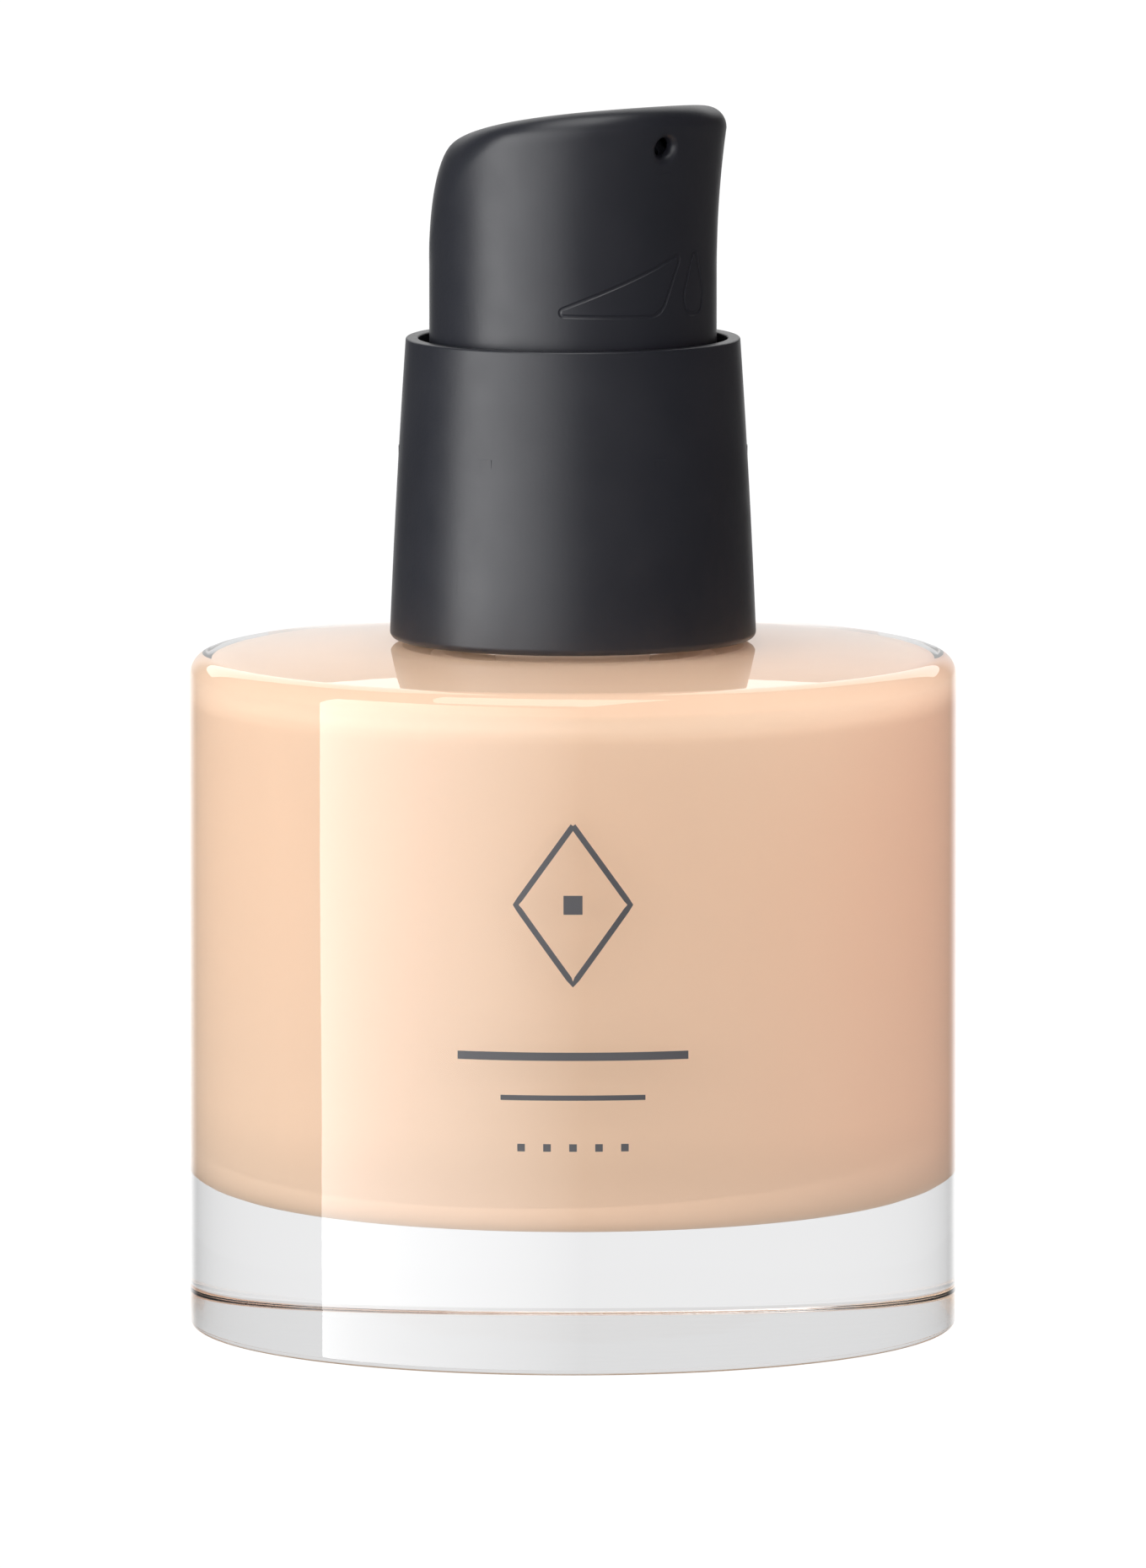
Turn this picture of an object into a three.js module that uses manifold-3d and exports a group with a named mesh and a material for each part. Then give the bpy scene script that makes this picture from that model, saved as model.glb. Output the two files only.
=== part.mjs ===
// A foundation bottle: a thick-based glass jar with a screw-on treatment pump.
// Millimetres, +Z up, origin at the centre of the face that the bottle stands on, front towards -Y.
import * as THREE from "three";
import { ParametricGeometry } from "three/addons/geometries/ParametricGeometry.js";
import { mergeVertices } from "three/addons/utils/BufferGeometryUtils.js";
import Module from "manifold-3d";

const wasm = await Module();
wasm.setup();

// ---- driving dimensions ----
const BODY_RADIUS = 22.5; // glass body
const BODY_TOP = 39.5; // outer edge of the shoulder
const SHOULDER_RISE = 0.8; // from that edge to the crown under the sleeve
const CROWN_RADIUS = 10.6;
const HEEL = 0.7; // rounding of the bottom edge
const BASE = 7.6; // solid glass under the foundation
const BOWL = 6.5; // rounding of the cavity's floor
const LOWER_WALL = 4.2; // side wall of the glass over the base, which thins to the upper wall
const UPPER_WALL = 1.5;
const SHOULDER_WALL = 1.5; // glass over the foundation
const NECK_RADIUS = 6.55; // neck without its thread
const NECK_BORE = 5.0;
const NECK_TOP = 48.1;

const THREAD_PITCH = 25.4 / 12; // twelve threads to the inch
const THREAD_DEPTH = 0.8;
const NECK_THREAD_START = 43.3; // height of the ridge's middle where it starts
const NECK_THREAD_TURNS = 1.1;
const CAP_THREAD_TURNS = 0.8;
const THREAD_GAP = 0.28; // how far the cap's ridge sits above the middle of the neck's groove

const SLEEVE_BOTTOM = 40.5;
const SLEEVE_TOP = 58.15;
const SLEEVE_BOTTOM_RADIUS = 10.75;
const SLEEVE_TOP_RADIUS = 9.8;
const SLEEVE_BULGE = 0.06; // how far the tapered side stands out at mid height
const SLEEVE_WALL = 0.75;

const CLOSURE_BOTTOM = 41.1;
const CLOSURE_TOP = 51.4;
const CLOSURE_RADIUS = 8.4; // without its ribs
const SHELF_TOP = 52.3; // the sleeve's inner shelf, which rests on the closure
const SHELF_THICKNESS = 0.6;
const SHELF_BORE = 7.0;

const HOUSING_BORE = 3.75;
const HOUSING_RADIUS = 4.5;
const HOUSING_TOP = 49.7;
const CHAMBER_FLOOR = 33.2; // where the pump chamber steps down to the ball chamber
const BALL_SEAT = 29.8;
const BALL_RADIUS = 1.5;
const SEAT_BORE = 1.1;
const TUBE_RADIUS = 1.5;
const TUBE_BORE = 0.9;
const TUBE_BOTTOM = 8.7;
const TUBE_CUT = 0.45; // radians that the dip tube's foot is cut at

const STEM_RADIUS = 1.75;
const STEM_BORE = 0.9;
const STEM_TOP = 61.0;
const PISTON_BOTTOM = 44.0;

const SPRING_RADIUS = 2.7; // middle of the wire
const SPRING_WIRE = 0.25; // wire radius
const SPRING_TURNS = 5;
const SPRING_BOTTOM = 34.2;
const SPRING_TOP = 42.1;

const ACTUATOR_RADIUS = 8.4;
const ACTUATOR_BOTTOM = 56.7;
const ACTUATOR_WALL = 0.9;
const NOSE_HEIGHT = 72.25; // top of the shell over the nozzle
const NOSE_FLARE = 1.05; // how far the nose leans out past the round skirt
const FLARE_START = 62.0;
const TOP_SLOPE = 0.136; // of the top at the nose, and how fast it steepens towards the back
const TOP_CURVE = 0.008;
const NOSE_EDGE = 1.35; // rounding of the top edge at the nose
const BACK_EDGE = { across: 1.5, down: 6.7 }; // rounding at the back, an upright ellipse
const NOZZLE_HEIGHT = 69.8;
const ORIFICE_RADIUS = 0.55;
const NOZZLE_TURN = -54; // degrees from +X: the nozzle points to the front, turned to the right

const GAP = 0.3; // between pieces that touch on the real bottle
const ROUND = 36; // facets of the large turned pieces
const MEDIUM = 28;
const SMALL = 20;

// ---- geometry helpers ----

// Outline in (radius, height) through corners [radius, height, fillet]; each fillet becomes an arc.
function outline(corners, closed = true, steps = 2) {
  const count = corners.length;
  const points = [];
  corners.forEach(([r, z, fillet], i) => {
    const here = new THREE.Vector2(r, z);
    if (!fillet || (!closed && (i === 0 || i === count - 1))) {
      points.push(here);
      return;
    }
    const before = new THREE.Vector2(...corners[(i + count - 1) % count]).sub(here).normalize();
    const after = new THREE.Vector2(...corners[(i + 1) % count]).sub(here).normalize();
    const half = Math.acos(THREE.MathUtils.clamp(before.dot(after), -1, 1)) / 2;
    const centre = before.clone().add(after).normalize().multiplyScalar(fillet / Math.sin(half)).add(here);
    const start = before.multiplyScalar(fillet / Math.tan(half)).add(here).sub(centre);
    const end = after.multiplyScalar(fillet / Math.tan(half)).add(here).sub(centre);
    const sweep = Math.atan2(start.x * end.y - start.y * end.x, start.dot(end));
    for (let k = 0; k <= steps; k++)
      points.push(start.clone().rotateAround(new THREE.Vector2(), (sweep * k) / steps).add(centre));
  });
  if (closed) points.push(points[0].clone());
  return points;
}

// Turns an outline about the Z axis.
function turned(points, facets) {
  return new THREE.LatheGeometry(points, facets).rotateX(Math.PI / 2);
}

function ring(corners, facets, steps) {
  return turned(outline(corners, true, steps), facets);
}

function solid(geometry) {
  const bare = geometry.index ? geometry.clone() : mergeVertices(geometry, 1e-4);
  bare.deleteAttribute("normal");
  bare.deleteAttribute("uv");
  const merged = mergeVertices(bare, 1e-4);
  return new wasm.Manifold(
    new wasm.Mesh({
      numProp: 3,
      vertProperties: new Float32Array(merged.attributes.position.array),
      triVerts: new Uint32Array(merged.index.array),
    }),
  );
}

function geometryOf(made) {
  const mesh = made.getMesh();
  const geometry = new THREE.BufferGeometry();
  geometry.setAttribute("position", new THREE.BufferAttribute(mesh.vertProperties, 3));
  geometry.setIndex(new THREE.BufferAttribute(mesh.triVerts, 1));
  geometry.computeVertexNormals();
  return geometry;
}

function joined(base, pieces) {
  return geometryOf(pieces.reduce((sum, piece) => sum.add(solid(piece)), solid(base)));
}

function cut(base, tools) {
  return geometryOf(tools.reduce((rest, tool) => rest.subtract(solid(tool)), solid(base)));
}

function box(width, depth, height, x, y, z) {
  return new THREE.BoxGeometry(width, depth, height).translate(x, y, z);
}

// A rod of a given radius from one point to another.
function rod(from, to, startRadius, endRadius, facets) {
  const along = to.clone().sub(from);
  const turn = new THREE.Quaternion().setFromUnitVectors(
    new THREE.Vector3(0, 1, 0),
    along.clone().normalize(),
  );
  return new THREE.CylinderGeometry(endRadius, startRadius, along.length(), facets)
    .applyQuaternion(turn)
    .translate(...from.clone().add(to).multiplyScalar(0.5).toArray());
}

// Closed tube swept along a helix: section(angle) gives its corners as [radius, height] at each step.
function helix(section, turns, stepsPerTurn) {
  const steps = Math.round(turns * stepsPerTurn);
  const positions = [];
  const faces = [];
  const size = section(0).length;
  for (let i = 0; i <= steps; i++) {
    const angle = (2 * Math.PI * turns * i) / steps;
    section(angle).forEach(([r, z]) => {
      positions.push(r * Math.cos(angle), r * Math.sin(angle), z);
    });
  }
  for (let i = 0; i < steps; i++)
    for (let j = 0; j < size; j++) {
      const a = i * size + j;
      const b = i * size + ((j + 1) % size);
      faces.push(a, a + size, b, b, a + size, b + size);
    }
  const last = steps * size;
  for (let j = 1; j < size - 1; j++) {
    faces.push(0, j, j + 1);
    faces.push(last, last + j + 1, last + j);
  }
  const geometry = new THREE.BufferGeometry();
  geometry.setAttribute("position", new THREE.Float32BufferAttribute(positions, 3));
  geometry.setIndex(faces);
  return geometry;
}

// Thread ridge of trapezium section from a root radius to a crest radius, sunk a little into its wall.
function threadRidge(root, crest, startHeight, turns) {
  const outward = Math.sign(crest - root);
  const sunk = root - outward * 0.3;
  const rise = (angle) => startHeight + (THREAD_PITCH * angle) / (2 * Math.PI);
  const rootHalf = 0.52;
  const crestHalf = 0.22;
  return helix(
    (angle) => {
      const corners = [
        [sunk, rise(angle) - rootHalf],
        [root, rise(angle) - rootHalf],
        [crest, rise(angle) - crestHalf],
        [crest, rise(angle) + crestHalf],
        [root, rise(angle) + rootHalf],
        [sunk, rise(angle) + rootHalf],
      ];
      return outward > 0 ? corners : corners.reverse();
    },
    turns,
    24,
  );
}

// ---- glass, foundation ----

function glassBottle() {
  const crown = BODY_TOP + SHOULDER_RISE;
  const ceiling = BODY_TOP - SHOULDER_WALL;
  const profile = outline(
    [
      [0, 0],
      [BODY_RADIUS, 0, HEEL],
      [BODY_RADIUS, BODY_TOP, 1.2],
      [CROWN_RADIUS, crown],
      [NECK_RADIUS, crown, 0.6],
      [NECK_RADIUS, NECK_TOP, 0.3],
      [NECK_BORE, NECK_TOP, 0.3],
      [NECK_BORE, ceiling + SHOULDER_RISE, 0.8],
      [CROWN_RADIUS, ceiling + SHOULDER_RISE],
      [BODY_RADIUS - UPPER_WALL, ceiling, 1.5],
      [BODY_RADIUS - LOWER_WALL, BASE, BOWL],
      [0, BASE],
    ],
    false,
    3,
  );
  const thread = threadRidge(
    NECK_RADIUS,
    NECK_RADIUS + THREAD_DEPTH,
    NECK_THREAD_START,
    NECK_THREAD_TURNS,
  );
  return joined(turned(profile, ROUND), [thread]);
}

function foundationFill() {
  const top = BODY_TOP - SHOULDER_WALL - GAP;
  const bottom = BASE + GAP;
  return ring(
    [
      [1.8, bottom],
      [BODY_RADIUS - LOWER_WALL - GAP, bottom, BOWL - GAP],
      [BODY_RADIUS - UPPER_WALL - GAP, top, 1.3],
      [CROWN_RADIUS, top + SHOULDER_RISE],
      [HOUSING_RADIUS + GAP, top + SHOULDER_RISE],
      [HOUSING_RADIUS + GAP, CHAMBER_FLOOR - 0.6],
      [2.8, BALL_SEAT - 1.2],
      [2.8, 24.6],
      [1.8, 24.6],
    ],
    MEDIUM,
  );
}

// ---- pump engine ----

function pumpHousing() {
  const body = ring(
    [
      [1.62, 25.0],
      [2.5, 25.0, 0.2],
      [2.5, BALL_SEAT - 0.6],
      [HOUSING_RADIUS, CHAMBER_FLOOR - 0.2],
      [HOUSING_RADIUS, HOUSING_TOP - 0.85],
      [6.4, HOUSING_TOP - 0.85],
      [6.4, HOUSING_TOP],
      [HOUSING_BORE, HOUSING_TOP],
      [HOUSING_BORE, CHAMBER_FLOOR],
      [2.0, CHAMBER_FLOOR],
      [2.0, BALL_SEAT],
      [SEAT_BORE, BALL_SEAT],
      [SEAT_BORE, BALL_SEAT - 0.7],
      [1.62, BALL_SEAT - 0.7],
    ],
    SMALL,
  );
  const vent = rod(new THREE.Vector3(3, 0, 45.6), new THREE.Vector3(5, 0, 45.6), 0.35, 0.35, 10);
  return cut(body, [vent]);
}

function housingCap() {
  return ring(
    [
      [2.6, 47.5],
      [HOUSING_BORE - 0.1, 47.5],
      [HOUSING_BORE - 0.1, HOUSING_TOP + 0.05],
      [6.2, HOUSING_TOP + 0.05],
      [6.2, 50.45],
      [3.6, 50.45],
      [3.6, 51.5],
      [4.15, 51.55],
      [3.6, 52.1],
      [3.6, 53.6, 0.3],
      [STEM_RADIUS + 0.15, 53.6, 0.2],
      [STEM_RADIUS + 0.15, 48.2],
      [2.6, 48.2],
    ],
    SMALL,
  );
}

function neckGasket() {
  return ring(
    [
      [HOUSING_RADIUS + 0.15, NECK_TOP + 0.05],
      [6.5, NECK_TOP + 0.05, 0.15],
      [6.5, HOUSING_TOP - 0.9, 0.15],
      [HOUSING_RADIUS + 0.15, HOUSING_TOP - 0.9],
    ],
    SMALL,
  );
}

function dipTube() {
  const tube = ring(
    [
      [TUBE_BORE, TUBE_BOTTOM],
      [TUBE_RADIUS, TUBE_BOTTOM],
      [TUBE_RADIUS, BALL_SEAT - 0.9],
      [TUBE_BORE, BALL_SEAT - 0.9],
    ],
    SMALL,
  );
  const bias = box(8, 8, 4, 0, 0, -2).rotateY(TUBE_CUT).translate(0, 0, TUBE_BOTTOM + 0.8);
  return cut(tube, [bias]);
}

function ballCage() {
  const disc = ring(
    [
      [0.8, CHAMBER_FLOOR + 0.05],
      [HOUSING_BORE - 0.1, CHAMBER_FLOOR + 0.05],
      [HOUSING_BORE - 0.1, CHAMBER_FLOOR + 0.65],
      [2.1, CHAMBER_FLOOR + 0.65],
      [1.8, CHAMBER_FLOOR + 1.8],
      [0.8, CHAMBER_FLOOR + 1.8],
    ],
    SMALL,
  );
  const slot = box(4.6, 0.8, 1.2, 0, 0, CHAMBER_FLOOR + 0.3);
  const crossSlot = box(0.8, 4.6, 1.2, 0, 0, CHAMBER_FLOOR + 0.3);
  return cut(disc, [slot, crossSlot]);
}

function checkBall() {
  const centre = BALL_SEAT + Math.sqrt(BALL_RADIUS ** 2 - SEAT_BORE ** 2) + 0.04;
  return new THREE.SphereGeometry(BALL_RADIUS, 16, 8).rotateX(Math.PI / 2).translate(0, 0, centre);
}

function returnSpring() {
  const wire = (angle) => {
    const rise = THREE.MathUtils.mapLinear(angle, 0, 2 * Math.PI * SPRING_TURNS, SPRING_BOTTOM, SPRING_TOP);
    return [0, 1, 2, 3, 4].map((k) => {
      const a = (2 * Math.PI * k) / 5;
      return [SPRING_RADIUS + SPRING_WIRE * Math.cos(a), rise + SPRING_WIRE * Math.sin(a)];
    });
  };
  return helix(wire, SPRING_TURNS, 14);
}

function plungerCore() {
  const profile = [
    [0, 42.4],
    [3.0, 42.4],
    [3.0, 43.2],
    [2.3, PISTON_BOTTOM - 0.1],
    [STEM_BORE - 0.08, PISTON_BOTTOM - 0.1],
    [STEM_BORE - 0.08, 46.4],
    [0, 46.4],
  ];
  return turned(outline(profile, false), SMALL);
}

function stem() {
  const tube = ring(
    [
      [STEM_BORE, PISTON_BOTTOM],
      [STEM_RADIUS, PISTON_BOTTOM],
      [STEM_RADIUS, 47.4],
      [2.4, 47.4],
      [2.4, 48.1],
      [STEM_RADIUS, 48.1],
      [STEM_RADIUS, STEM_TOP, 0.2],
      [STEM_BORE, STEM_TOP],
    ],
    SMALL,
  );
  const port = box(5, 0.8, 1.8, 0, 0, PISTON_BOTTOM);
  return cut(tube, [port]);
}

function pistonSeal() {
  return ring(
    [
      [STEM_RADIUS + 0.08, PISTON_BOTTOM],
      [2.9, PISTON_BOTTOM],
      [3.25, PISTON_BOTTOM - 0.5],
      [HOUSING_BORE - 0.1, PISTON_BOTTOM - 0.5],
      [HOUSING_BORE - 0.3, PISTON_BOTTOM + 0.4],
      [HOUSING_BORE - 0.3, PISTON_BOTTOM + 2.2],
      [HOUSING_BORE - 0.1, PISTON_BOTTOM + 2.9],
      [3.25, PISTON_BOTTOM + 2.9],
      [2.8, PISTON_BOTTOM + 2.3],
      [STEM_RADIUS + 0.08, PISTON_BOTTOM + 2.3],
    ],
    SMALL,
  );
}

// ---- closure ----

function screwClosure() {
  const wallInside = NECK_RADIUS + THREAD_DEPTH + 0.2;
  const roof = CLOSURE_TOP - 0.9;
  const hole = 3.9;
  const body = ring(
    [
      [wallInside, CLOSURE_BOTTOM],
      [CLOSURE_RADIUS, CLOSURE_BOTTOM, 0.2],
      [CLOSURE_RADIUS, CLOSURE_TOP, 0.3],
      [hole, CLOSURE_TOP],
      [hole, roof],
      [wallInside, roof],
    ],
    MEDIUM,
  );
  const ridgeStart = NECK_THREAD_START - THREAD_PITCH / 2 + THREAD_GAP;
  const startTurn = 0.1;
  const thread = threadRidge(
    wallInside,
    NECK_RADIUS + 0.2,
    ridgeStart + THREAD_PITCH * startTurn,
    CAP_THREAD_TURNS,
  ).rotateZ(2 * Math.PI * startTurn);
  const ribs = [];
  const ribCount = 12;
  for (let i = 0; i < ribCount; i++)
    ribs.push(box(0.5, 0.6, 8.4, CLOSURE_RADIUS, 0, 46.2).rotateZ((2 * Math.PI * (i + 0.5)) / ribCount));
  return joined(body, [thread, ...ribs]);
}

function sleeveRadius(z) {
  const t = (z - SLEEVE_BOTTOM) / (SLEEVE_TOP - SLEEVE_BOTTOM);
  return THREE.MathUtils.lerp(SLEEVE_BOTTOM_RADIUS, SLEEVE_TOP_RADIUS, t) + 4 * SLEEVE_BULGE * t * (1 - t);
}

function outerSleeve() {
  const outside = (z, edge) => [sleeveRadius(z), z, edge];
  const inside = (z, edge) => [sleeveRadius(z) - SLEEVE_WALL, z, edge];
  const third = (SLEEVE_TOP - SLEEVE_BOTTOM) / 3;
  const body = ring(
    [
      outside(SLEEVE_BOTTOM, 0.5),
      outside(SLEEVE_BOTTOM + third),
      outside(SLEEVE_TOP - third),
      outside(SLEEVE_TOP, 0.25),
      inside(SLEEVE_TOP, 0.25),
      inside(SHELF_TOP),
      [SHELF_BORE, SHELF_TOP],
      [SHELF_BORE, SHELF_TOP - SHELF_THICKNESS],
      inside(SHELF_TOP - SHELF_THICKNESS),
      inside(SLEEVE_BOTTOM),
    ],
    ROUND,
  );
  const ribs = [];
  const ribCount = 6;
  for (let i = 0; i < ribCount; i++)
    ribs.push(box(1.3, 0.8, 9.4, 9.55, 0, 47.1).rotateZ((2 * Math.PI * i) / ribCount));
  return joined(body, ribs);
}

// ---- actuator: its own frame has the nozzle along +X ----

// Height of the sloping top at distance x towards the nozzle.
function topHeight(x) {
  const back = ACTUATOR_RADIUS - x;
  return NOSE_HEIGHT - TOP_SLOPE * back - TOP_CURVE * back * back;
}

// The button's outer form shrunk by an inset: a round skirt that leans out to a nose under a sloping top,
// with a tall soft edge at the back and a tight one at the nose.
function actuatorForm(inset, bottom) {
  const wallSteps = 6;
  const edgeSteps = 5;
  const topSteps = 2;
  const stations = 1 + wallSteps + edgeSteps + topSteps;
  const place = (u, v, target) => {
    const angle = 2 * Math.PI * u;
    const station = Math.round(v * stations);
    const facing = (1 + Math.cos(angle)) / 2;
    const nearNose = THREE.MathUtils.smoothstep(facing, 0.08, 0.75);
    const across = THREE.MathUtils.lerp(BACK_EDGE.across, NOSE_EDGE, nearNose);
    const down = THREE.MathUtils.lerp(BACK_EDGE.down, NOSE_EDGE, nearNose);
    const flare = NOSE_FLARE * facing ** 3;
    const rim = ACTUATOR_RADIUS + flare;
    const shoulder = topHeight(rim * Math.cos(angle)) - down;
    let radius = 0;
    let z = bottom;
    if (station > 0 && station <= wallSteps + 1) {
      const up = (station - 2) / (wallSteps - 1);
      z = station === 1 ? bottom : THREE.MathUtils.lerp(FLARE_START - 1, shoulder, up);
      const lean = THREE.MathUtils.clamp((z - FLARE_START) / (shoulder - FLARE_START), 0, 1);
      radius = ACTUATOR_RADIUS + flare * lean * lean;
    } else if (station > wallSteps + 1) {
      const step = station - wallSteps - 1;
      const bend = (Math.min(step, edgeSteps) / edgeSteps) * (Math.PI / 2);
      const inward = Math.max(0, step - edgeSteps) / topSteps;
      radius = (rim - across + across * Math.cos(bend)) * (1 - inward);
      z = topHeight(radius * Math.cos(angle)) - down * (1 - Math.sin(bend));
    }
    const shrunk = radius * (1 - inset / rim);
    const drop = station > wallSteps ? inset : (inset * (z - bottom)) / (shoulder - bottom);
    target.set(shrunk * Math.cos(angle), shrunk * Math.sin(angle), z - drop);
  };
  return new ParametricGeometry(place, 40, stations);
}

function actuatorShell() {
  const cavity = actuatorForm(ACTUATOR_WALL, ACTUATOR_BOTTOM - 1);
  const at = (x) => new THREE.Vector3(x, 0, NOZZLE_HEIGHT);
  const orifice = rod(at(6), at(11), ORIFICE_RADIUS, ORIFICE_RADIUS, 20);
  const countersink = rod(at(8.65), at(9.45), 0.5, 1.05, 20);
  return cut(actuatorForm(0, ACTUATOR_BOTTOM), [cavity, orifice, countersink]);
}

function actuatorCore() {
  const socket = turned(
    outline(
      [
        [0, 68.0],
        [STEM_BORE, 68.0],
        [STEM_BORE, STEM_TOP + 0.3],
        [STEM_RADIUS + 0.1, STEM_TOP + 0.3],
        [STEM_RADIUS + 0.1, 57.9],
        [2.8, 57.9],
        [2.8, 67.4],
        [2.2, 68.3],
        [0, 68.3],
      ],
      false,
    ),
    SMALL,
  );
  const from = new THREE.Vector3(1.2, 0, 66.6);
  const to = new THREE.Vector3(7.6, 0, NOZZLE_HEIGHT - 0.3);
  const spout = rod(from, to, 1.3, 1.1, 16);
  const mouth = new THREE.Vector3(8.8, 0, NOZZLE_HEIGHT + 0.32);
  const channel = rod(new THREE.Vector3(0, 0, 66.0), mouth, ORIFICE_RADIUS, ORIFICE_RADIUS, 12);
  const fins = [0.25, 0.5, 0.75].map((turn) =>
    box(4.6, 0.8, 3.6, 4.8, 0, 62.4).rotateZ(2 * Math.PI * turn),
  );
  const whole = [spout, ...fins].reduce((sum, piece) => sum.add(solid(piece)), solid(socket));
  return geometryOf(whole.subtract(solid(channel)));
}

// ---- assembly ----

const satinBlack = { color: 0x2a2b2e, roughness: 0.42, metalness: 0 };
const clearGlass = { color: 0xf2f4f4, roughness: 0.03, metalness: 0, transparent: true, opacity: 0.35 };
const peach = { color: 0xf4c9a4, roughness: 0.35, metalness: 0 };
const milky = { color: 0xe9e8e2, roughness: 0.45, metalness: 0 };
const softWhite = { color: 0xf5f4ef, roughness: 0.55, metalness: 0 };
const steel = { color: 0xb9bcc0, roughness: 0.28, metalness: 1 };

function add(group, name, geometry, look) {
  const mesh = new THREE.Mesh(geometry, new THREE.MeshStandardMaterial(look));
  mesh.name = name;
  group.add(mesh);
}

const foundationBottle = new THREE.Group();
const bottle = new THREE.Group();
const pump = new THREE.Group();
const closure = new THREE.Group();
const plunger = new THREE.Group();
const actuator = new THREE.Group();
actuator.rotation.z = THREE.MathUtils.degToRad(NOZZLE_TURN);

add(bottle, "glass_bottle", glassBottle(), clearGlass);
add(bottle, "foundation_fill", foundationFill(), peach);

add(pump, "pump_housing", pumpHousing(), milky);
add(pump, "housing_cap", housingCap(), milky);
add(pump, "neck_gasket", neckGasket(), softWhite);
add(pump, "ball_cage", ballCage(), milky);
add(pump, "check_ball", checkBall(), steel);
add(pump, "dip_tube", dipTube(), softWhite);

add(closure, "screw_closure", screwClosure(), satinBlack);
add(closure, "outer_sleeve", outerSleeve(), satinBlack);

add(plunger, "stem", stem(), milky);
add(plunger, "plunger_core", plungerCore(), milky);
add(plunger, "piston_seal", pistonSeal(), softWhite);
add(plunger, "return_spring", returnSpring(), steel);

add(actuator, "actuator_shell", actuatorShell(), satinBlack);
add(actuator, "actuator_core", actuatorCore(), satinBlack);

plunger.add(actuator);
pump.add(plunger, closure);
foundationBottle.add(bottle, pump);

export default foundationBottle;
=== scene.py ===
import math

import bmesh
import bpy
from mathutils import Matrix, Vector


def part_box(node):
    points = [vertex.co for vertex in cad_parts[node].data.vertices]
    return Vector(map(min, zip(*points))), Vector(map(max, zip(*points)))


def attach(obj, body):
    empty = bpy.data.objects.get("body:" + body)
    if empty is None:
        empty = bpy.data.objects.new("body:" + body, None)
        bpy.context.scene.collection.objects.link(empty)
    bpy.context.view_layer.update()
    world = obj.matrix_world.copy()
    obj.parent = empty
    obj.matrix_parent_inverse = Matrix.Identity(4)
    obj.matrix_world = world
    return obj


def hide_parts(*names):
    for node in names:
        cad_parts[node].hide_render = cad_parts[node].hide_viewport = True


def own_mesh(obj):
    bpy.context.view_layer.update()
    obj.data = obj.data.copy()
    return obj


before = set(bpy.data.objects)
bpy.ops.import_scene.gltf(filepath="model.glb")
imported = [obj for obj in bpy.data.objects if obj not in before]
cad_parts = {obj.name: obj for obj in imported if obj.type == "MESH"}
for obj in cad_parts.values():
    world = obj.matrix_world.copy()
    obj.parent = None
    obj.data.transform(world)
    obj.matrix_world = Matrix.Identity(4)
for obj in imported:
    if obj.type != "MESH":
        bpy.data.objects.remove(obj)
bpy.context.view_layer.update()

# ---- sizes, in millimetres unless a name says otherwise; the CAD frame gives the outer ones ----
MM = 0.001
_, high_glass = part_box("glass_bottle")
low_fill, high_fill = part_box("foundation_fill")
low_sleeve, high_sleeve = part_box("outer_sleeve")
low_shell, high_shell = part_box("actuator_shell")
INK_DEPTH = 0.02
BODY_RADIUS = high_glass.x / MM - INK_DEPTH  # the print on the glass stays in the CAD's outline
NECK_TOP = high_glass.z / MM
GAP = 0.3  # between the CAD's foundation and its glass
BASE_TOP = low_fill.z / MM - GAP
BOWL = 6.5  # rounding of the cavity's floor
SHOULDER_GLASS = 1.5  # thickness of the shoulder
WALL_AT_BASE = 4.2  # thickness of the glass round the foundation
WALL_AT_TOP = 1.5
CROWN = high_fill.z / MM + GAP + SHOULDER_GLASS  # top of the shoulder, under the sleeve
CROWN_RADIUS = 10.6
SHOULDER_RISE = 0.8
SHOULDER_ARC = 80.0  # the long radius that makes the shoulder a dome
BODY_TOP = CROWN - SHOULDER_RISE
CEILING = BODY_TOP - SHOULDER_GLASS  # of the cavity at its edge
CEILING_ROUND = 1.5
HEEL_ROUND = 0.4  # of the bottom edge, where the CAD has 0.7
SHOULDER_ROUND = 1.2
LOWER_INSIDE = BODY_RADIUS - WALL_AT_BASE
UPPER_INSIDE = BODY_RADIUS - WALL_AT_TOP
NECK_RADIUS = 6.55
NECK_BORE = 5.0
THREAD_PITCH = 25.4 / 12
THREAD_DEPTH = 0.8
NECK_THREAD_START = 43.3

SLEEVE_BOTTOM = low_sleeve.z / MM
SLEEVE_TOP = high_sleeve.z / MM
SLEEVE_BOTTOM_RADIUS = high_sleeve.x / MM
SLEEVE_TAPER = 0.95
SLEEVE_TOP_RADIUS = SLEEVE_BOTTOM_RADIUS - SLEEVE_TAPER
SLEEVE_BULGE = 0.06
SLEEVE_WALL = 0.75
CLOSURE_RADIUS = 8.4
CLOSURE_BOTTOM = 41.1
CLOSURE_TOP = 51.4

ACTUATOR_RADIUS = 8.4
ACTUATOR_BOTTOM = low_shell.z / MM
ACTUATOR_WALL = 0.9
NOSE_HEIGHT = high_shell.z / MM + 0.028  # the rounded edge ends just under it
NOSE_FLARE = 1.05
FLARE_START = 62.0
TOP_SLOPE = 0.136
TOP_CURVE = 0.008
NOSE_EDGE = 1.35
BACK_EDGE_ACROSS = 1.5
BACK_EDGE_DOWN = 6.7
BLEND_START, BLEND_END = 0.08, 0.75  # of the way to the nose, where the top edge tightens
NOZZLE_HEIGHT = 69.8
NOZZLE_TURN = math.radians(-54)  # the nozzle's direction from +X
NOZZLE_LEAN = math.radians(11.3)  # of the skirt at the nozzle
MARK_RADIUS = 0.17  # of the round cutter that engraves the marks
MARK_STAND_OUT = 0.11  # of its middle from the skirt

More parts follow.
